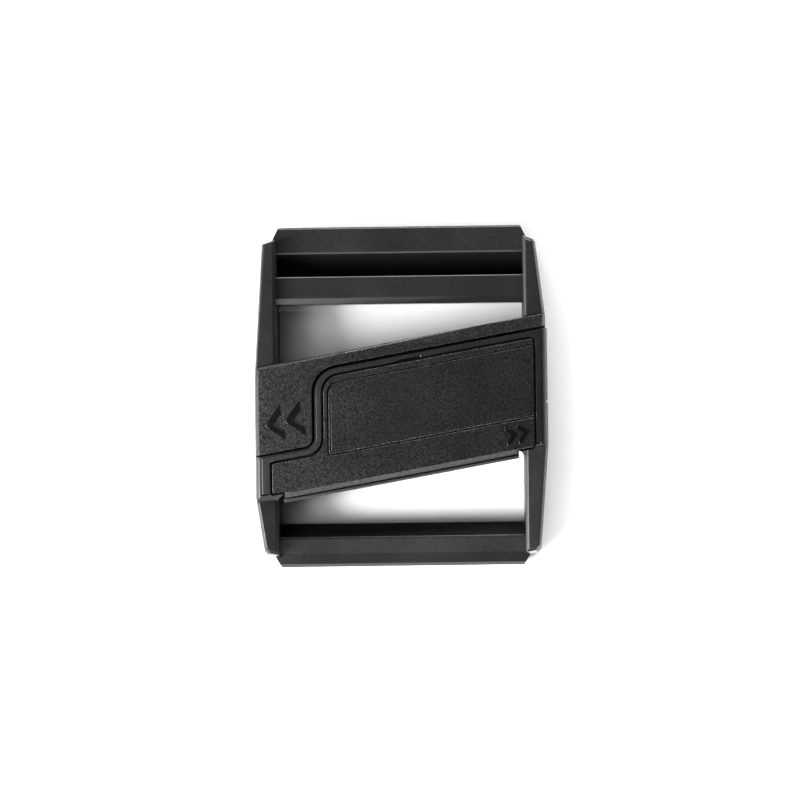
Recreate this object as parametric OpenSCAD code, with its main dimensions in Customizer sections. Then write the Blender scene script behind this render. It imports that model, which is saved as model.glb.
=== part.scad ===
// Magnetic side-sliding buckle for 40 mm webbing, fastened, lying on its back.
// The upper half has a two-bar strap adjuster, the lower half a single bar.
// X runs across the webbing, Y along it, Z up out of the front of the buckle.
// The origin is on the ground, under the middle of the buckle.

/* [Whole buckle] */
// Clear width between the side posts
clear_width = 41; // [40.6:0.1:41.4]
// Width across the widest part of the sides
body_width = 49; // [48.8:0.1:49.2]
// Width across the upper posts at their free ends
upper_end_width = 46; // [45.8:0.1:46.2]
// Width across the lower posts at their free ends
lower_end_width = 46.3; // [46.1:0.1:46.5]
// Length over the two end bars
body_length = 56.7; // [56.5:0.1:56.9]
// Slant of the seam, and of every line that follows it, in degrees
slant = 10; // [9.8:0.1:10.2]

/* [Heights] */
// Height of the domed front at its crown
crown_z = 11; // [10.8:0.1:11.6]
// Fall of the domed front from its crown to the sides
crown_drop = 1; // [0.8:0.1:1.2]
// Height of the face on which one half lies over the other
split_z = 5; // [4.8:0.1:5.2]
// Height of the upper posts beside the middle
upper_post_root_z = 9.45; // [9.3:0.05:9.5]
// Height of the upper posts at their free ends
upper_post_tip_z = 8.9; // [8.6:0.1:9.2]
// Height of the lower posts beside the middle, at their inner edge
lower_post_root_z = 9.1; // [9:0.05:9.15]
// Height of the lower posts at their free ends, at their inner edge
lower_post_tip_z = 8.2; // [8:0.1:8.6]
// Fall of the tops of the lower posts towards the opening, in degrees
lower_lean = 4; // [3:0.5:4.5]
// Depth of the rail round the plate, under the domed front
rail_drop = 0.35; // [0.25:0.05:0.4]
// Height of the rail above the ledge beside it
rail_rise = 0.15; // [0.1:0.05:0.2]
// Width of the ledge outside the rail, beside and below the arrows
rail_step = 0.3; // [0.2:0.05:0.35]
// Width of the same ledge along the top of the rail
rail_top_step = 0.1; // [0.08:0.02:0.14]
// Height of the floor that carries the plate
plate_floor_z = 8.1; // [8:0.05:8.2]
// Height of the floor that carries the grip panel
panel_floor_z = 8.9; // [8.8:0.05:9]

/* [Slanted lines, each by its height where it crosses the middle] */
// Edge of the middle part towards the strap adjuster
band_top = 9.2; // [9:0.1:9.4]
// Seam between the cover of the upper half and the rail of the lower half
cover_seam = 7; // [6.9:0.05:7.1]
// Groove between the rail and the plate
plate_seam = 5.58; // [5.5:0.02:5.66]
// Upper edge of the grip panel
panel_top = 4.25; // [4.1:0.05:4.4]
// Seam between the two halves in their lower layer
base_seam = -5.45; // [-5.6:0.05:-5.3]
// Groove between the rail and the foot of the plate
foot_seam = -6.95; // [-7:0.05:-6.9]
// Lower edge of the grip panel
panel_bottom = -7.4; // [-7.6:0.1:-7.3]
// End of the rail, just before the lower posts
rail_end = -11.9; // [-12:0.05:-11.8]
// Top of the slope from the ledge of the rail down to the lower posts
slope_top = -12.35; // [-12.4:0.05:-12.3]
// Wall of the middle part towards the lower bar
body_edge = -12.7; // [-12.75:0.05:-12.65]
// Lower edge of the plate beside the left post
plate_left_end = -12.2; // [-12.25:0.05:-12.15]
// Lower edge of the plate beside the right post
plate_right_end = -12.65; // [-12.7:0.05:-12.6]
// Front edge of the plate, behind the lip
plate_front = -13.2; // [-13.25:0.05:-13.15]
// Front edge of the lip
lip_edge = -13.9; // [-14:0.05:-13.8]

/* [Upright lines across the middle] */
// Seam between the cover and the rail
cover_side_x = -14.44; // [-14.5:0.02:-14.4]
// Groove between the rail and the plate
plate_side_x = -12.85; // [-12.9:0.05:-12.8]
// Left edge of the foot of the plate
foot_x = -21.45; // [-21.5:0.05:-21.4]
// Right edge of the plate
plate_right_x = 22.15; // [22.1:0.05:22.2]
// Left edge of the grip panel
panel_left_x = -11.85; // [-11.95:0.05:-11.75]
// Half length of the lip
lip_half = 19.45; // [19.3:0.05:19.5]

/* [Gaps] */
// Width of the seam between the halves on the front
cover_gap = 0.35; // [0.3:0.05:0.4]
// Width of the same seam beside and below the arrows
side_gap = 0.3; // [0.25:0.05:0.35]
// Width of the groove round the plate
plate_gap = 0.34; // [0.3:0.02:0.36]
// Width of the groove between the plate and the lip
front_gap = 0.12; // [0.1:0.02:0.16]
// Width of the groove round the grip panel
panel_gap = 0.2; // [0.15:0.05:0.25]
// Width of the groove inside the rim of the grip panel
rim_gap = 0.16; // [0.12:0.02:0.2]
// Clearance between the halves where they slide on each other
slide_gap = 0.15; // [0.1:0.05:0.2]
// Clearance between pieces that are fixed to each other
fit_gap = 0.08; // [0.06:0.02:0.1]

/* [Edges] */
// Lean of the side walls above the split, in degrees
side_draft = 7.5; // [7.3:0.1:7.7]
// Lean of the free ends of the upper posts, in degrees
upper_end_draft = 4; // [3:0.5:5]
// Lean of the free ends of the lower posts, in degrees
lower_end_draft = 13; // [12:0.5:14]
// Bevel along the outer edges of the front
top_bevel = 0.35; // [0.3:0.05:0.4]
// Bevel along the outer edges of the upper posts
post_bevel = 0.2; // [0.15:0.05:0.25]
// Bevel of the cover along the strap adjuster
band_bevel = 0.35; // [0.3:0.05:0.4]
// Bevel along the edges of the back
back_bevel = 0.5; // [0.4:0.05:0.6]
// Bevel along the inner edges of the posts
inner_bevel = 0.4; // [0.35:0.05:0.45]
// Width of the rim along the left and lower edges of the grip panel
panel_rim = 0.22; // [0.2:0.02:0.3]
// Slope of the strip beside the strap adjuster
strip_slope = 0.19; // [0.15:0.01:0.22]
// Slope of the front face of the plate
plate_slope = 0.7; // [0.6:0.05:0.8]

/* [Arrows and magnets] */
// Length of one large arrow head along its axis
arrow_length = 3; // [2.8:0.1:3.2]
// Size of the small arrow heads compared with the large ones
small_arrow = 0.62; // [0.58:0.02:0.66]
// Height of the arrow heads above the front
arrow_rise = 0.2; // [0.15:0.05:0.25]
// Diameter of each magnet
magnet_d = 8; // [7.6:0.1:8]
// Thickness of the magnet in the upper half
upper_magnet_t = 3; // [2.6:0.1:3.2]
// Thickness of the magnet in the lower half
lower_magnet_t = 2.2; // [2:0.1:2.2]

/* [Hidden] */

clear_half = clear_width / 2;
body_half = body_width / 2;
upper_end_half = upper_end_width / 2;
lower_end_half = lower_end_width / 2;
length_half = body_length / 2;
dome_r = (body_half * body_half + crown_drop * crown_drop) / (2 * crown_drop);
edge_z = crown_z - crown_drop;
tall = 16;
far = 40;
arc_steps = 12;

// Points where the side walls turn, from the end of the post to the end of the post
upper_corner_y = 25.6;
upper_tip_y = 26.45;
lower_corner_y = -25.6;
lower_shoulder_y = -26.4;
lower_tip_y = -26.7;
shoulder_in = 0.7;
left_upper_y = 3.3;
left_lower_y = -16.6;
right_upper_y = 13.2;
right_lower_y = -8.2;
// The right side of the upper half stands back behind that of the lower half
upper_right_in = 0.3;
upper_right_half = body_half - upper_right_in;

// Outline round the free ends of the lower posts, anticlockwise from the left side
lower_ring = [
    [-body_half, 0], [-body_half, left_lower_y], [-lower_end_half, lower_corner_y],
    [-lower_end_half + shoulder_in, lower_shoulder_y], [-clear_half, lower_tip_y],
    [clear_half, lower_tip_y], [lower_end_half - shoulder_in, lower_shoulder_y],
    [lower_end_half, lower_corner_y], [body_half, right_lower_y], [body_half, 5]
];
// Outline round the free ends of the upper posts, anticlockwise from the right side
upper_ring = [
    [upper_right_half, -6], [upper_right_half, right_upper_y],
    [upper_end_half - upper_right_in, upper_corner_y], [clear_half, upper_tip_y],
    [-clear_half, upper_tip_y], [-upper_end_half, upper_corner_y],
    [-body_half, left_upper_y], [-body_half, -12]
];
// Sides of the middle part, each list anticlockwise
left_sides = [[-upper_end_half, upper_corner_y], [-body_half, left_upper_y],
              [-body_half, left_lower_y], [-lower_end_half, lower_corner_y]];
right_sides = [[lower_end_half, lower_corner_y], [body_half, right_lower_y],
               [body_half, right_upper_y], [upper_end_half, upper_corner_y]];

// Where along Y the tops of the posts are measured, and where their inner bevels begin
upper_root_y = 9;
upper_end_y = 25;
lower_root_y = -10;
lower_end_y = -25;
upper_bevel_y = [5, 12.5];
lower_bevel_y = [-16.4, -9.2];

// Sections of the bars, as [Y, Z]
outer_bar_section = [
    [length_half, 1], [length_half, 5.8], [length_half - 0.3, 6.1], [24.2, 6.1], [23.9, 5.9],
    [19.3, 1.3], [19.3, 0.7], [19.9, 0.2], [length_half - 0.8, 0.2]
];
centre_bar_section = [
    [20.1, 7.2], [19.9, 7.4], [16.5, 7.4], [15.4, 6.7], [15.5, 1.1], [15.8, 0.8], [15.9, 0.8],
    [20.1, 5.2]
];
lower_bar_section = [
    [-21.15, 0.8], [-21.15, 3.75], [-23.3, 5.9], [-23.6, 6], [-26.1, 5.25], [-27.8, 5.2],
    [-length_half, 4.6], [-length_half, 0.8], [-27.7, 0.2], [-21.8, 0.2]
];
outer_bar_half = 20.15;
outer_bar_root_half = 21.35;
outer_bar_root_y = 25.9;
lower_bar_half = 20.25;
lower_bar_root_half = 21.45;
lower_bar_root_y = -26.3;

// Edge of the tongue, and the hook at it: a ridge on the upper half in a channel of the lower half
tongue_edge = base_seam - side_gap / 2 - 0.1;
ridge_top = -3.4;
ridge_z = 6.4;
ridge_left_x = -12.5;
ridge_right_x = 19.4;
hook_gap = 0.3;
magnet_x = 3;
magnet_c = 1.8;
magnet_y = magnet_c + magnet_x * tan(slant);
upper_magnet_z = split_z - 0.1 - upper_magnet_t;
lower_magnet_z = split_z + slide_gap + 0.1;
magnet_cap = 0.1;

// Corner radii on the front, on the middle line of each groove
cover_upper_r = 4.5;
cover_lower_r = 1.6;
plate_upper_r = 3;
plate_lower_r = 3;
plate_corner_r = 0.7;
foot_corner_r = 0.3;
panel_upper_r = 1.9;
panel_lower_r = 0.5;
panel_right_r = 0.3;
upper_opening_r = 0.4;
lower_opening_r = 1.1;
rim_depth = 0.15;
lip_low_z = 3;
lip_drop = 0.7;
lip_bevel = 0.35;
facet_line = -12.35;

// The rail's raised part, which ends short of the sides, and the groove at its end
rail_half = 23.05;
rail_groove = 0.2;
rail_groove_z = 9.3;

// V notches in the sides, near the seam between the halves: [side, slanted line, width, depth]
side_notches = [[-1, -6.05, 0.45, 0.3], [1, base_seam, 0.57, 0.43]];

// Arrow heads: [X of the tip, Y of the tip]
large_arrows = [[-22.5, -4.6], [-19.2, -3.9]];
small_arrows = [[19.1, -6.5], [21.05, -6.15]];
arrow_half_angle = 44;
arrow_thickness = 0.5;

// Short nick in the edge of the rail: [X, slanted line]
nick = [[-2.5, 5.6], [3.3, 5.6], [3.3, 6.1], [0.3, 6.02]];

// A corner of radius r at x, on the slanted line that crosses the middle at c
function at(x, c, r = 0) = [x, c + x * tan(slant), r];
function unit(v) = v / norm(v);
function cross_z(a, b) = a[0] * b[1] - a[1] * b[0];

// Points of one corner of an outline: [x, y, radius] between its two neighbours
function corner(before, here, after) =
    let (
        p = [here[0], here[1]],
        to_before = unit([before[0], before[1]] - p),
        to_after = unit([after[0], after[1]] - p),
        half = acos(to_before * to_after) / 2,
        centre = p + unit(to_before + to_after) * here[2] / sin(half),
        first = p + to_before * here[2] / tan(half) - centre,
        turn = (180 - 2 * half) * (cross_z(to_before, to_after) > 0 ? -1 : 1)
    )
    here[2] == 0 ? [p] :
    [for (i = [0:arc_steps]) let (a = turn * i / arc_steps)
        centre + [first[0] * cos(a) - first[1] * sin(a), first[0] * sin(a) + first[1] * cos(a)]];

// An outline from [x, y, radius] corners
function rounded(c) = let (n = len(c))
    [for (i = [0:n - 1]) each corner(c[(i + n - 1) % n], c[i], c[(i + 1) % n])];

// A shape in plan from corners given as [x, slanted line]
module slanted(corners) {
    polygon([for (p = corners) [p[0], p[1] + p[0] * tan(slant)]]);
}
// Everything below, or above, a slanted line, in plan
module below(c) {
    slanted([[-far, c], [-far, c - 3 * far], [far, c - 3 * far], [far, c]]);
}
module above(c) {
    slanted([[-far, c], [far, c], [far, c + 2 * far], [-far, c + 2 * far]]);
}

// A block that lies outside a plane. The plane holds the line from a to b, the outside is on
// the right of that line, and the plane leans inwards by lean degrees as it rises.
module outside(a, b, lean, reach = 6, over = 3) {
    d = b - a;
    flat = norm([d[0], d[1]]);
    translate(a)
        rotate([0, 0, atan2(d[1], d[0])])
            rotate([0, -atan2(d[2], flat), 0])
                rotate([-lean, 0, 0])
                    translate([-over, -reach, -10])
                        cube([norm(d) + 2 * over, reach, 20]);
}

// Height of a post at y, from its height beside the middle and at its end
function post_z(y, root_y, root_z, tip_y, tip_z) =
    root_z + (tip_z - root_z) * (y - root_y) / (tip_y - root_y);
function upper_z(y) = post_z(y, upper_root_y, upper_post_root_z, upper_end_y, upper_post_tip_z);
function lower_z(y) = post_z(y, lower_root_y, lower_post_root_z, lower_end_y, lower_post_tip_z);

// Walls round a ring of plan points, drafted above the split and bevelled at front and back
module walls(ring, heights, draft, bevel) {
    for (i = [0:len(ring) - 2]) {
        p = ring[i];
        q = ring[i + 1];
        inset = bevel + (heights[i] - split_z) * tan(draft[i]);
        outside([p[0], p[1], split_z], [q[0], q[1], split_z], draft[i]);
        outside([p[0], p[1], back_bevel], [q[0], q[1], back_bevel], -45);
        outside([p[0], p[1], heights[i] - inset], [q[0], q[1], heights[i + 1] - inset], 45);
    }
}

// The domed front, lowered by drop. With a slope it falls away from the line y = m * x + c,
// towards +Y for a positive slope and towards -Y for a negative one.
module under_dome(drop = 0, slope = 0, m = 0, c = 0) {
    tilt = atan(slope);
    r = dome_r / cos(tilt);
    roll = slope * m;
    translate([dome_r * roll, 0, crown_z - drop + dome_r * roll * roll / 2 + slope * c])
        rotate([-tilt, 0, 0])
            translate([0, 0, -r])
                rotate([90, 0, 0])
                    cylinder(h = 4 * far, r = r, center = true, $fn = 1440);
}

// The middle part from low_z up to the domed front, lowered by top_drop, with its side walls.
// The right side stands back by right_in.
module middle(low_z, top_drop, right_in = 0) {
    side_z = edge_z - top_drop;
    heights = [side_z, side_z, side_z, side_z];
    drafts = [side_draft, side_draft, side_draft];
    right = [for (p = right_sides) [p[0] - right_in, p[1]]];
    difference() {
        intersection() {
            translate([0, 0, low_z])
                linear_extrude(tall - low_z)
                    intersection() {
                        polygon(concat(left_sides, right));
                        children();
                    }
            under_dome(top_drop);
        }
        walls(left_sides, heights, drafts, top_bevel);
        walls(right, heights, drafts, top_bevel);
    }
}

// The lean of each wall of a ring: end_draft on the walls that run more across than along
function ring_draft(ring, end_draft) = [for (i = [0:len(ring) - 2])
    2 * abs(ring[i][0] - ring[i + 1][0]) > abs(ring[i][1] - ring[i + 1][1])
        ? end_draft : side_draft];

// Openings between the posts
module upper_opening() {
    polygon(rounded([[-clear_half, far, 0], at(-clear_half, band_top, upper_opening_r),
        at(clear_half, band_top, upper_opening_r), [clear_half, far, 0]]));
}
module lower_opening() {
    polygon(rounded([[-clear_half, -far, 0], [clear_half, -far, 0],
        at(clear_half, body_edge, lower_opening_r), at(-clear_half, body_edge, lower_opening_r)]));
}

// The V notches in the sides
module notches() {
    for (n = side_notches) {
        x = n[0] * body_half;
        half = n[2] / 2;
        translate([x, at(x, n[1])[1], -1])
            linear_extrude(tall)
                polygon([[-n[0] * n[3], 0], [0, -half], [n[0], -half], [n[0], half], [0, half]]);
    }
}

// Two posts, from their ring to a slanted line
module upper_posts() {
    heights = [for (p = upper_ring) upper_z(p[1])];
    root = band_top + fit_gap;
    difference() {
        linear_extrude(tall)
            difference() {
                polygon(upper_ring);
                upper_opening();
                below(tongue_edge + slide_gap / 2);
            }
        translate([0, 0, split_z])
            linear_extrude(tall)
                below(root);
        above_plane([0, upper_root_y, upper_post_root_z], [0, upper_end_y, upper_post_tip_z]);
        walls(upper_ring, heights, ring_draft(upper_ring, upper_end_draft), post_bevel);
        inner_edge(-clear_half, upper_bevel_y[0], upper_tip_y, upper_z(0), upper_z(1));
        inner_edge(clear_half, upper_tip_y, upper_bevel_y[1], upper_z(0), upper_z(1));
    }
}
// The cut for the bevel along the inner edge of a post, from one Y to another, of a post whose
// top is at height z_0 where Y is 0 and at z_1 where Y is 1
module inner_edge(x, from_y, to_y, z_0, z_1) {
    rise = z_1 - z_0;
    low = z_0 - inner_bevel;
    outside([x, from_y, low + from_y * rise], [x, to_y, low + to_y * rise], 45, 3, 0);
}
module lower_posts() {
    heights = [for (p = lower_ring) lower_z(p[1]) + (abs(p[0]) - clear_half) * tan(lower_lean)];
    difference() {
        linear_extrude(tall)
            intersection() {
                difference() {
                    polygon(lower_ring);
                    lower_opening();
                }
                below(slope_top + 1);
            }
        for (side = [-1, 1])
            above_plane([side * clear_half, lower_end_y, lower_post_tip_z],
                [side * clear_half, lower_root_y, lower_post_root_z], side * lower_lean);
        walls(lower_ring, heights, ring_draft(lower_ring, lower_end_draft), top_bevel);
        inner_edge(-clear_half, lower_tip_y, lower_bevel_y[0], lower_z(0), lower_z(1));
        inner_edge(clear_half, lower_bevel_y[1], lower_tip_y, lower_z(0), lower_z(1));
    }
}

// Everything above a plane that rises or falls along Y through two points, and rises by lean
// degrees along X
module above_plane(a, b, lean = 0) {
    reach = lean == 0 ? far : clear_half - 1;
    translate(a)
        rotate([atan2(b[2] - a[2], b[1] - a[1]), 0, 0])
            rotate([0, -lean, 0])
                translate([-reach, -far, 0])
                    cube([2 * reach, 2 * far, tall]);
}

// A bar along X from its section, with the corners of its outer edge cut off
module bar(section, half, root_half, root_y) {
    out = root_y > 0 ? length_half : -length_half;
    intersection() {
        translate([-root_half, 0, 0])
            rotate([90, 0, 90])
                linear_extrude(2 * root_half)
                    polygon(section);
        linear_extrude(tall)
            polygon([[-half, out], [-root_half, root_y], [-root_half, 0],
                     [root_half, 0], [root_half, root_y], [half, out]]);
    }
}

// Outline of the cover of the upper half
module cover_plan() {
    polygon(rounded([
        at(-far, base_seam + side_gap / 2), at(cover_side_x - side_gap / 2, base_seam + side_gap / 2,
            cover_lower_r - side_gap / 2),
        at(cover_side_x - side_gap / 2, cover_seam + cover_gap / 2, cover_upper_r + cover_gap / 2),
        at(far, cover_seam + cover_gap / 2), at(far, band_top), at(-far, band_top)]));
}
// Outline of the layer of the lower half that carries the rail, drawn in by step beside and
// below the arrows and by top_step along its top
module rail_plan(step = 0, top_step = 0) {
    in = side_gap / 2 + step;
    top = cover_seam - cover_gap / 2 - top_step;
    polygon(rounded([
        at(-far, base_seam - in), at(cover_side_x + in, base_seam - in, cover_lower_r + in),
        at(cover_side_x + in, top, cover_upper_r - cover_gap / 2 - step), at(far, top),
        at(far, slope_top - 1), at(-far, slope_top - 1)]));
}
// Outline of the plate, drawn out by grow all round but at its front edge behind the lip
module plate_plan(grow, front) {
    polygon(rounded([
        at(foot_x - grow, plate_left_end - grow, foot_corner_r),
        at(foot_x - grow, foot_seam + grow, foot_corner_r),
        at(plate_side_x - grow, foot_seam + grow, plate_lower_r - grow),
        at(plate_side_x - grow, plate_seam + grow, plate_upper_r + grow),
        at(plate_right_x + grow, plate_seam + grow, plate_corner_r + grow),
        at(plate_right_x + grow, plate_right_end - grow, plate_corner_r + grow),
        at(lip_half + grow, plate_right_end - grow), at(lip_half + grow, front),
        at(-lip_half - grow, front), at(-lip_half - grow, plate_left_end - grow)]));
}
// Outline of the panel, drawn out by grow, with its right end at right_x and its upper edge
// drawn out by top_grow
module panel_plan(grow, top_grow, right_x, right_r) {
    polygon(rounded([
        at(panel_left_x - grow, panel_bottom - grow, panel_lower_r + grow),
        at(right_x, panel_bottom - grow, right_r), at(right_x, panel_top + top_grow, right_r),
        at(panel_left_x - grow, panel_top + top_grow, panel_upper_r + grow)]));
}

// One arrow head with its tip at the origin, its arms towards +X
module arrow(size) {
    l = arrow_length * size;
    t = l * arrow_thickness;
    rise = tan(arrow_half_angle);
    polygon([[0, 0], [l, -l * rise], [l, -(l - t) * rise], [t, 0], [l, (l - t) * rise],
             [l, l * rise]]);
}
module arrows(tips, size, turn) {
    intersection() {
        for (tip = tips)
            translate([tip[0], tip[1], panel_floor_z])
                rotate([0, 0, turn])
                    linear_extrude(tall)
                        arrow(size);
        under_dome(-arrow_rise);
    }
}

// The frame of the upper half: side posts, both bars and the tongue that reaches under the
// lower half, with the ridge of the hook and the pocket for a magnet
module upper_frame() {
    color("#2b2b2d")
        difference() {
            union() {
                upper_posts();
                bar(outer_bar_section, outer_bar_half, outer_bar_root_half, outer_bar_root_y);
                centre_bar();
                ridge();
            }
            notches();
            translate([magnet_x, magnet_y, upper_magnet_z - magnet_cap])
                cylinder(h = tall, d = magnet_d + 2 * fit_gap, $fn = 96);
        }
}
module centre_bar() {
    translate([-clear_half - 0.5, 0, 0])
        rotate([90, 0, 90])
            linear_extrude(2 * clear_half + 1)
                polygon(centre_bar_section);
}
module ridge() {
    low = tongue_edge + slide_gap / 2;
    translate([0, 0, split_z - 1])
        linear_extrude(ridge_z - split_z + 1)
            slanted([[ridge_left_x, low], [ridge_right_x, low], [ridge_right_x, ridge_top],
                     [ridge_left_x, ridge_top]]);
}

// The cover of the upper half: full width on the left, a narrow slanting strip on the right
module upper_cover() {
    fold_m = (at(body_half, cover_seam)[1] - at(-clear_half, band_top)[1])
        / (body_half + clear_half);
    fold_c = at(-clear_half, band_top)[1] + clear_half * fold_m;
    color("#303032") {
        intersection() {
            middle(split_z + fit_gap, 0, upper_right_in)
                cover_plan();
            under_dome(0, strip_slope, fold_m, fold_c);
            under_dome(0, 1, tan(slant), band_top - band_bevel);
        }
        arrows(large_arrows, 1, slant);
    }
}

// The frame of the lower half: side posts, single bar, the layer that lies over the tongue
// with its rail, and the lip along the front of the plate
module lower_frame() {
    channel_low = tongue_edge - slide_gap / 2;
    color("#2b2b2d")
        difference() {
            union() {
                lower_posts();
                bar(lower_bar_section, lower_bar_half, lower_bar_root_half, lower_bar_root_y);
                ledge();
                rail();
                lip();
            }
            notches();
            // Room for the tongue of the upper half
            translate([0, 0, -1])
                linear_extrude(split_z + slide_gap + 1)
                    above(channel_low);
            // Channel for the ridge of the hook
            translate([0, 0, split_z - 1])
                linear_extrude(ridge_z - split_z + 1 + slide_gap)
                    slanted([[cover_side_x - 1, channel_low],
                             [ridge_right_x + hook_gap, channel_low],
                             [ridge_right_x + hook_gap, ridge_top + slide_gap],
                             [cover_side_x - 1, ridge_top + slide_gap]]);
            // Groove at the end of the rail
            translate([0, 0, rail_groove_z])
                linear_extrude(tall)
                    slanted([[-rail_half, rail_end], [-rail_half, rail_end - rail_groove],
                             [rail_half, rail_end - rail_groove], [rail_half, rail_end]]);
            // Pocket for the plate
            translate([0, 0, plate_floor_z])
                linear_extrude(tall) {
                    plate_plan(plate_gap / 2, plate_front - front_gap);
                    slanted(nick);
                }
            translate([magnet_x, magnet_y, split_z])
                cylinder(h = lower_magnet_z - split_z + lower_magnet_t + magnet_cap,
                    d = magnet_d + 2 * fit_gap, $fn = 96);
        }
}
// The body of the lower half up to the ledge beside the rail, sloping down to the posts
module ledge() {
    slope_z = edge_z - rail_drop - rail_rise;
    difference() {
        middle(0, rail_drop + rail_rise)
            difference() {
                rail_plan();
                below(slope_top - 1);
                lower_opening();
            }
        outside([-far, at(-far, slope_top)[1], slope_z], [far, at(far, slope_top)[1], slope_z], 45);
    }
}
module rail() {
    intersection() {
        translate([0, 0, ridge_z + 1])
            linear_extrude(tall)
                intersection() {
                    rail_plan(rail_step, rail_top_step);
                    above(rail_end);
                    square([2 * rail_half, 4 * far], center = true);
                }
        under_dome(rail_drop);
    }
}
module lip() {
    intersection() {
        translate([0, 0, lip_low_z])
            linear_extrude(tall)
                slanted([[-lip_half, lip_edge], [lip_half, lip_edge], [lip_half, rail_end],
                         [-lip_half, rail_end]]);
        under_dome(lip_drop);
        under_dome(lip_drop, -1, tan(slant), lip_edge + lip_bevel);
    }
}

// The plate that the rail surrounds, with the sloping front face and the recess for the panel
module lower_plate() {
    color("#2e2e30") {
        difference() {
            intersection() {
                translate([0, 0, plate_floor_z + fit_gap])
                    linear_extrude(tall)
                        plate_plan(-plate_gap / 2, plate_front);
                under_dome();
                under_dome(0, -plate_slope, tan(slant), facet_line);
            }
            translate([0, 0, panel_floor_z])
                linear_extrude(tall)
                    panel_plan(panel_gap, panel_gap, far, 0);
        }
        arrows(small_arrows, small_arrow, 180 + slant);
    }
}

// The textured panel to push on, flush in its recess, with a groove inside its rim
module grip_panel() {
    color("#353537")
        difference() {
            intersection() {
                translate([0, 0, panel_floor_z + fit_gap])
                    linear_extrude(tall)
                        panel_plan(0, 0, plate_right_x - plate_gap / 2, panel_right_r);
                under_dome();
            }
            difference() {
                translate([0, 0, panel_floor_z])
                    linear_extrude(tall)
                        difference() {
                            panel_plan(-panel_rim, panel_gap, far, 0);
                            panel_plan(-panel_rim - rim_gap, panel_gap, far, 0);
                        }
                under_dome(rim_depth);
            }
        }
}

module upper_magnet() {
    color("#a8a8ac")
        translate([magnet_x, magnet_y, upper_magnet_z])
            cylinder(h = upper_magnet_t, d = magnet_d, $fn = 96);
}
module lower_magnet() {
    color("#a8a8ac")
        translate([magnet_x, magnet_y, lower_magnet_z])
            cylinder(h = lower_magnet_t, d = magnet_d, $fn = 96);
}

upper_frame();
upper_cover();
lower_frame();
lower_plate();
grip_panel();
upper_magnet();
lower_magnet();
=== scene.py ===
"""The looks of a magnetic buckle: its plastic finishes, fine edges, floor, light and camera.

Lengths are in metres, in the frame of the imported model: X across the webbing, Y along it, Z up.
"""

import math
from collections import namedtuple

import bpy
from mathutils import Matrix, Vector

MM = 0.001
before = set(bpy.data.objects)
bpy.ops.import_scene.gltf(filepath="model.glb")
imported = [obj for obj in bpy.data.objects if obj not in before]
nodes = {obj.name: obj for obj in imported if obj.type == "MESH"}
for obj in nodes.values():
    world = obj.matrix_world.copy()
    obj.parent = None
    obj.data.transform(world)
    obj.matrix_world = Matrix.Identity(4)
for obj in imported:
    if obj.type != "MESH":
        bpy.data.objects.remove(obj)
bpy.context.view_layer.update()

# Camera, straight above the buckle as in the photograph, turned a little about its own axis
CAMERA_PLACE = Vector((8.0, -0.6, 374.0)) * MM
CAMERA_ROLL = math.radians(-0.75)
CAMERA_LENS = 99.4
CAMERA_SENSOR = 36.0
CAMERA_SHIFT = (-0.06128, -0.0008)
CAMERA_CLIP_START = 10.0 * MM

# Light. Each lamp is a soft box of size (width, height) that faces the buckle. One that isn't
# mirrored lights the floor, but makes no highlights on the plastics. One that isn't scattered
# makes highlights alone.
Lamp = namedtuple("Lamp", "name place size strength mirrored scattered", defaults=(True, True))
LAMPS = (
    Lamp("key", (-0.72, -0.3, 0.42), (0.5, 0.4), 25.0),
    Lamp("high_key", (-0.52, -0.27, 0.6), (0.45, 0.5), 3.5),
    Lamp("front_strip", (0.1, -0.9, 0.42), (1.2, 0.3), 8.0),
    Lamp("back_strip", (0.1, 0.9, 0.42), (1.2, 0.3), 22.5),
    Lamp("overhead", (-0.35, 0.0, 1.0), (1.0, 1.2), 0.6),
    Lamp("left_rim", (-0.95, -0.05, 0.12), (0.25, 0.6), 1.8, scattered=False),
    Lamp("floor_fill", (-0.3, 0.12, 0.8), (0.5, 0.5), 1.0, mirrored=False),
)
WORLD_COLOUR = (1.0, 1.0, 1.0)
WORLD_STRENGTH = 0.01

# Floor: a square whose sides are twice FLOOR_HALF
FLOOR_HALF = 3.0
FLOOR_COLOUR = (0.92, 0.92, 0.92)
FLOOR_ROUGHNESS = 0.7

# Colours of the plastics and the plating, linear
BLACK = (0.0045, 0.0045, 0.0046)
TEXTURED_BLACK = (0.0055, 0.0055, 0.0056)
GLOSS_BLACK = (0.002, 0.002, 0.002)
NICKEL = (0.62, 0.6, 0.57)
PLASTIC_IOR = 1.5

# Grain of the moulded plastics, mixed from a fine noise and a coarse one that is COARSE_GRAIN
# times as large. Heights between GRAIN_LOW and GRAIN_HIGH span all of the contrast.
FINE_SHARE = 0.75
FINE_DETAIL = 1.5
FINE_ROUGHNESS = 0.55
COARSE_GRAIN = 2.6
COARSE_DETAIL = 1.0
GRAIN_LOW = 0.36
GRAIN_HIGH = 0.64

# Clouds in which the colour and the roughness of the moulded plastics wander a little
CLOUD_SIZE = 9 * MM
CLOUD_DETAIL = 3.0
CLOUD_SHARE = 0.25
CLOUD_SHADE = 0.8
ROUGHNESS_SPREAD = 0.04

# Steep faces are those whose normals rise by less than STEEP, level ones those whose normals
# rise by more than LEVEL. The steep ones have WALL_ROUGHNESS, apart from the side walls, whose
# normals point sideways by more than SIDEWAYS, and which have SIDE_ROUGHNESS.
STEEP = 0.72
LEVEL = 0.8
SIDEWAYS = 0.6
WALL_ROUGHNESS = 0.2
SIDE_ROUGHNESS = 0.5

# The share of the grain that is left on sloping faces. It fades as the normals go from FLAT
# down to SLOPING.
SLOPE_RELIEF = 0.4
SLOPING = 0.84
FLAT = 0.95

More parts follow.
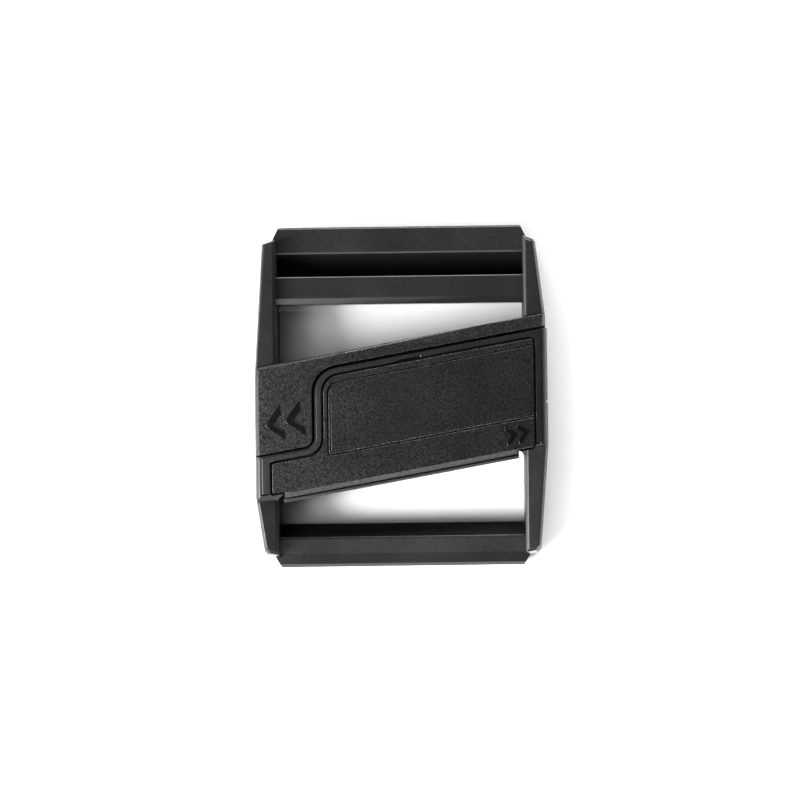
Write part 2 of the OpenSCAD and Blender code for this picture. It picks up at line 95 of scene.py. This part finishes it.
# The faint haze of handling on the polished arrows
HAZE_SIZE = 1.5 * MM
HAZE_DETAIL = 4.0
HAZE_ROUGHNESS = (0.16, 0.24)
POLISHED_SHINE = 0.32

# The fine tumbling marks on the plating
MARK_SIZE = 0.3 * MM
MARK_DETAIL = 5.0
MARK_NOISE_ROUGHNESS = 0.7
MARK_ROUGHNESS = (0.18, 0.34)
MARK_STRENGTH = 0.3
MARK_DEPTH = 0.004 * MM

# Width of the rounding on the outer edges of each piece
ROUNDING = {
    "upper_frame": 0.12 * MM,
    "lower_frame": 0.15 * MM,
    "upper_cover": 0.12 * MM,
    "lower_plate": 0.1 * MM,
    "grip_panel": 0.09 * MM,
    "upper_magnet": 0.2 * MM,
    "lower_magnet": 0.2 * MM,
}
ROUNDING_SEGMENTS = 2
NORMAL_WEIGHT = 80

# Angle from which two faces meet in an edge, and below which they are one face
EDGE_ANGLE = math.radians(10)
FLAT_ANGLE = math.radians(0.2)
WELD_DISTANCE = 0.002 * MM

# Slant of the seams, the slanted line before which the fine lip lies, and the shares of the
# rounding's width that the edges of the lip and of the arrows have
SLANT = math.tan(math.radians(10))
LIP_LINE = -12.0 * MM
LIP_EDGE_SHARE = 0.4
ARROW_EDGE_SHARE = 0.5

# The V notches in the sides: the side and the slanted line of each. They lie beyond NOTCH_X and
# within NOTCH_REACH of their lines, and their edges, which meet in sharp tips, aren't rounded.
SIDE_NOTCHES = ((-1, -6.05 * MM), (1, -5.45 * MM))
NOTCH_X = 23.6 * MM
NOTCH_REACH = 0.26 * MM

# The domed front, as in the CAD model, and how far the arrows stand above it
CROWN_Z = 11.0 * MM
CROWN_DROP = 1.0 * MM
BODY_HALF = 24.5 * MM
ARROW_RISE = 0.2 * MM


class NodeMaker:
    """Short ways to add nodes to a tree and to join them."""

    def __init__(self, tree):
        self.tree = tree

    def node(self, kind, inputs=(), **settings):
        """Adds a node. inputs feeds its sockets, settings gives its properties."""
        made = self.tree.nodes.new(kind)
        for key, value in settings.items():
            setattr(made, key, value)
        for key, value in dict(inputs).items():
            self.feed(made.inputs[key], value)
        return made

    def feed(self, socket, value):
        """Joins a socket to another one, or gives it a fixed value."""
        if isinstance(value, bpy.types.NodeSocket):
            self.tree.links.new(value, socket)
        else:
            socket.default_value = value

    def maths(self, operation, a, b=0.0):
        """One step of arithmetic. ABSOLUTE makes no use of b."""
        return self.node("ShaderNodeMath", {0: a, 1: b}, operation=operation).outputs[0]


class MaterialNodes(NodeMaker):
    """The node tree of a new material."""

    def __init__(self, name):
        self.material = bpy.data.materials.new(name)
        self.material.use_nodes = True
        super().__init__(self.material.node_tree)
        self.shader = self.tree.nodes["Principled BSDF"]
        self.place = self.node("ShaderNodeTexCoord").outputs["Object"]

    def look(self, setting, value):
        self.feed(self.shader.inputs[setting], value)

    def noise(self, size, detail, roughness=0.5):
        """Noise whose blobs are about size across, from 0 to 1."""
        inputs = {"Vector": self.place, "Scale": 1 / size, "Detail": detail, "Roughness": roughness}
        return self.node("ShaderNodeTexNoise", inputs).outputs["Fac"]

    def ramp(self, value, low, high, to_low=0.0, to_high=1.0):
        """value taken from the range low to high into another range, with a smooth step."""
        ranges = {"From Min": low, "From Max": high, "To Min": to_low, "To Max": to_high}
        inputs = {"Value": value, **ranges}
        made = self.node("ShaderNodeMapRange", inputs, interpolation_type="SMOOTHSTEP")
        return made.outputs["Result"]

    def mix(self, share, a, b):
        """Colour a, with a share of colour b."""
        made = self.node("ShaderNodeMix", data_type="RGBA")
        self.feed(made.inputs["Factor"], share)
        self.feed(made.inputs["A"], a)
        self.feed(made.inputs["B"], b)
        return made.outputs["Result"]

    def bump(self, height, strength, depth):
        inputs = {"Height": height, "Strength": strength, "Distance": depth}
        self.look("Normal", self.node("ShaderNodeBump", inputs).outputs["Normal"])


def opaque(colour, factor=1.0):
    """The colour times factor, with full alpha."""
    return tuple(c * factor for c in colour) + (1.0,)


def moulded(name, colour, roughness, grain, depth, shine, contrast):
    """Moulded plastic with a spark-eroded surface.

    grain is the size of its bumps, depth their height, shine how much light it mirrors, and
    contrast how far the tops of the bumps shine more than the hollows. Steep faces are smoother,
    apart from the matt side walls.
    """
    g = MaterialNodes(name)
    fine = g.noise(grain, FINE_DETAIL, FINE_ROUGHNESS)
    coarse = g.noise(grain * COARSE_GRAIN, COARSE_DETAIL)
    clouds = g.noise(CLOUD_SIZE, CLOUD_DETAIL)
    fine_part = g.maths("MULTIPLY", fine, FINE_SHARE)
    height = g.maths("ADD", fine_part, g.maths("MULTIPLY", coarse, 1.0 - FINE_SHARE))
    cloudiness = g.ramp(clouds, 0.3, 0.7, 0.0, CLOUD_SHARE)
    g.look("Base Color", g.mix(cloudiness, opaque(colour), opaque(colour, CLOUD_SHADE)))

    facing = g.node("ShaderNodeSeparateXYZ")
    g.feed(facing.inputs[0], g.node("ShaderNodeNewGeometry").outputs["True Normal"])
    level = g.ramp(facing.outputs["Z"], STEEP, LEVEL)
    sideways = g.maths("GREATER_THAN", g.maths("ABSOLUTE", facing.outputs["X"]), SIDEWAYS)
    wall = g.ramp(sideways, 0.0, 1.0, WALL_ROUGHNESS, SIDE_ROUGHNESS)
    smoothest, roughest = roughness - ROUGHNESS_SPREAD, roughness + ROUGHNESS_SPREAD
    level_part = g.maths("MULTIPLY", g.ramp(clouds, 0.25, 0.75, smoothest, roughest), level)
    steep_part = g.maths("MULTIPLY", g.maths("SUBTRACT", 1.0, level), wall)
    g.look("Roughness", g.maths("ADD", level_part, steep_part))

    relief = g.ramp(facing.outputs["Z"], SLOPING, FLAT, SLOPE_RELIEF, 1.0)
    swing = g.ramp(height, GRAIN_LOW, GRAIN_HIGH, -shine * contrast, shine * contrast)
    g.look("Specular IOR Level", g.maths("ADD", g.maths("MULTIPLY", swing, relief), shine))
    g.bump(height, relief, depth)
    g.look("IOR", PLASTIC_IOR)
    return g.material


def polished(name, colour):
    """The polished faces of the arrows, with the faint haze of handling."""
    g = MaterialNodes(name)
    haze = g.noise(HAZE_SIZE, HAZE_DETAIL)
    g.look("Base Color", opaque(colour))
    g.look("Specular IOR Level", POLISHED_SHINE)
    g.look("Roughness", g.ramp(haze, 0.3, 0.7, *HAZE_ROUGHNESS))
    g.look("IOR", PLASTIC_IOR)
    return g.material


def nickel_plate(name, colour):
    """Bright plating with fine tumbling marks, on the magnets inside."""
    g = MaterialNodes(name)
    marks = g.noise(MARK_SIZE, MARK_DETAIL, MARK_NOISE_ROUGHNESS)
    g.look("Base Color", opaque(colour))
    g.look("Metallic", 1.0)
    g.look("Roughness", g.ramp(marks, 0.3, 0.7, *MARK_ROUGHNESS))
    g.bump(marks, MARK_STRENGTH, MARK_DEPTH)
    return g.material


class EdgeNodes(NodeMaker):
    """A new group of geometry nodes that marks edges."""

    def __init__(self, name):
        super().__init__(bpy.data.node_groups.new(name, "GeometryNodeTree"))
        for way in ("INPUT", "OUTPUT"):
            self.tree.interface.new_socket(
                "Geometry", in_out=way, socket_type="NodeSocketGeometry")
        self.last = self.node("NodeGroupInput").outputs[0]
        # The angle between the two faces at an edge, below 0 where they form an inner corner
        self.turn = self.node("GeometryNodeInputMeshEdgeAngle").outputs["Signed Angle"]

    def step(self, kind, inputs=(), **settings):
        """Adds a node that changes the geometry which the steps before it have made."""
        self.last = self.node(kind, {"Geometry": self.last, **dict(inputs)}, **settings).outputs[0]

    def close(self):
        """Ends the group with the geometry of the last step."""
        self.node("NodeGroupOutput", {0: self.last})
        return self.tree


def edge_finder(name, lip_share):
    """A group that shades smoothly and marks the outer edges to be rounded.

    The mark, from 0 to 1, scales the width of the rounding. It is 1 on each edge that stands
    out, apart from those before LIP_LINE, where it is lip_share, those of the arrows, where it
    is ARROW_EDGE_SHARE, and those of the side notches, where it is 0.
    """
    g = EdgeNodes(name)
    g.step("GeometryNodeSetShadeSmooth", domain="FACE")
    g.step("GeometryNodeSetShadeSmooth", domain="EDGE")
    place = g.node("ShaderNodeSeparateXYZ", {0: g.node("GeometryNodeInputPosition").outputs[0]})
    line = g.maths("SUBTRACT", place.outputs["Y"], g.maths("MULTIPLY", place.outputs["X"], SLANT))
    on_lip = g.maths("LESS_THAN", line, LIP_LINE)
    side = g.maths("DIVIDE", place.outputs["X"], BODY_HALF)
    fall = g.maths("MULTIPLY", g.maths("MULTIPLY", side, side), CROWN_DROP)
    arrow_foot = g.maths("SUBTRACT", CROWN_Z + ARROW_RISE / 4, fall)
    on_arrow = g.maths("GREATER_THAN", place.outputs["Z"], arrow_foot)
    share = g.maths("SUBTRACT", 1.0, g.maths("MULTIPLY", on_lip, 1.0 - lip_share))
    share = g.maths("SUBTRACT", share, g.maths("MULTIPLY", on_arrow, 1.0 - ARROW_EDGE_SHARE))
    mark = g.maths("MULTIPLY", g.maths("GREATER_THAN", g.turn, EDGE_ANGLE), share)
    for sign, notch_line in SIDE_NOTCHES:
        beyond = g.maths("GREATER_THAN", g.maths("MULTIPLY", place.outputs["X"], sign), NOTCH_X)
        distance = g.maths("ABSOLUTE", g.maths("SUBTRACT", line, notch_line))
        at_notch = g.maths("MULTIPLY", beyond, g.maths("LESS_THAN", distance, NOTCH_REACH))
        mark = g.maths("MULTIPLY", mark, g.maths("SUBTRACT", 1.0, at_notch))
    stored = {"Name": "bevel_weight_edge", "Value": mark}
    g.step("GeometryNodeStoreNamedAttribute", stored, data_type="FLOAT", domain="EDGE")
    return g.close()


def corner_finder(name):
    """A group that keeps the edges of inner corners sharp.

    It comes after the rounding, which puts new points on the edges of inner corners.
    """
    g = EdgeNodes(name)
    corners = {"Selection": g.maths("LESS_THAN", g.turn, -EDGE_ANGLE), "Shade Smooth": False}
    g.step("GeometryNodeSetShadeSmooth", corners, domain="EDGE")
    return g.close()


def fine_edges(node, width, finder, inner_corners):
    """Rounds the outer edges of a CAD node by width, by modifiers alone."""
    weld = node.modifiers.new("weld", "WELD")
    weld.merge_threshold = WELD_DISTANCE
    flatten = node.modifiers.new("flatten", "DECIMATE")
    flatten.decimate_type = "DISSOLVE"
    flatten.angle_limit = FLAT_ANGLE
    flatten.delimit = {"MATERIAL"}
    find = node.modifiers.new("find", "NODES")
    find.node_group = finder
    edge = node.modifiers.new("edge", "BEVEL")
    edge.width = width
    edge.segments = ROUNDING_SEGMENTS
    edge.limit_method = "WEIGHT"
    edge.use_clamp_overlap = False
    edge.miter_outer = "MITER_SHARP"
    edge.loop_slide = True
    corners = node.modifiers.new("corners", "NODES")
    corners.node_group = inner_corners
    normals = node.modifiers.new("normals", "WEIGHTED_NORMAL")
    normals.mode = "FACE_AREA"
    normals.weight = NORMAL_WEIGHT
    normals.keep_sharp = True


def round_pieces():
    all_edges = edge_finder("all_edges", 1.0)
    finer_lip = edge_finder("finer_lip", LIP_EDGE_SHARE)
    inner_corners = corner_finder("inner_corners")
    for name, width in ROUNDING.items():
        finder = finer_lip if name == "lower_frame" else all_edges
        fine_edges(nodes[name], width, finder, inner_corners)


def paint_arrows(node, material):
    """Gives the tops of the arrows, which stand above the domed front, their own material."""
    node.data.materials.append(material)
    places = [v.co for v in node.data.vertices]
    for face in node.data.polygons:
        corners = [places[i] for i in face.vertices]
        rises = [p.z - CROWN_Z + CROWN_DROP * (p.x / BODY_HALF) ** 2 for p in corners]
        if min(rises) > ARROW_RISE / 2:
            face.material_index = 1


def paint_pieces():
    textured = {"colour": TEXTURED_BLACK, "roughness": 0.35, "depth": 0.045 * MM, "contrast": 1.0}
    frame_black = moulded(
        "frame_black", BLACK, roughness=0.38, grain=0.2 * MM, depth=0.01 * MM, shine=0.52,
        contrast=0.2)
    magnet_nickel = nickel_plate("magnet_nickel", NICKEL)
    paints = {
        "upper_frame": frame_black,
        "lower_frame": frame_black,
        "upper_cover": moulded("cover_black", grain=0.19 * MM, shine=0.44, **textured),
        "lower_plate": moulded("plate_black", grain=0.19 * MM, shine=0.44, **textured),
        "grip_panel": moulded("panel_black", grain=0.2 * MM, shine=0.41, **textured),
        "upper_magnet": magnet_nickel,
        "lower_magnet": magnet_nickel,
    }
    for name, material in paints.items():
        nodes[name].data.materials.clear()
        nodes[name].data.materials.append(material)
    arrow_gloss = polished("arrow_gloss", GLOSS_BLACK)
    paint_arrows(nodes["upper_cover"], arrow_gloss)
    paint_arrows(nodes["lower_plate"], arrow_gloss)


def add_floor():
    mesh = bpy.data.meshes.new("floor")
    turns = ((-1, -1), (1, -1), (1, 1), (-1, 1))
    mesh.from_pydata([(FLOOR_HALF * x, FLOOR_HALF * y, 0) for x, y in turns], [], [(0, 1, 2, 3)])
    floor = bpy.data.objects.new("floor", mesh)
    bpy.context.scene.collection.objects.link(floor)
    g = MaterialNodes("floor_white")
    g.look("Base Color", opaque(FLOOR_COLOUR))
    g.look("Roughness", FLOOR_ROUGHNESS)
    mesh.materials.append(g.material)


def add_lamp(lamp):
    light = bpy.data.lights.new(lamp.name, "AREA")
    light.shape = "RECTANGLE"
    light.size, light.size_y = lamp.size
    light.energy = lamp.strength
    holder = bpy.data.objects.new(lamp.name, light)
    holder.location = lamp.place
    holder.rotation_euler = (-Vector(lamp.place)).to_track_quat("-Z", "Y").to_euler()
    holder.visible_glossy = lamp.mirrored
    holder.visible_diffuse = lamp.scattered
    bpy.context.scene.collection.objects.link(holder)


def add_light():
    scene = bpy.context.scene
    world = bpy.data.worlds.new("studio")
    scene.world = world
    world.use_nodes = True
    background = world.node_tree.nodes["Background"]
    background.inputs["Color"].default_value = opaque(WORLD_COLOUR)
    background.inputs["Strength"].default_value = WORLD_STRENGTH
    scene.view_settings.view_transform = "Standard"
    for lamp in LAMPS:
        add_lamp(lamp)


def add_camera():
    camera = bpy.data.cameras.new("camera")
    camera.lens = CAMERA_LENS
    camera.sensor_width = CAMERA_SENSOR
    camera.shift_x, camera.shift_y = CAMERA_SHIFT
    camera.clip_start = CAMERA_CLIP_START
    holder = bpy.data.objects.new("camera", camera)
    holder.location = CAMERA_PLACE
    holder.rotation_euler = (0.0, 0.0, CAMERA_ROLL)
    bpy.context.scene.collection.objects.link(holder)
    bpy.context.scene.camera = holder


paint_pieces()
round_pieces()
add_floor()
add_light()
add_camera()
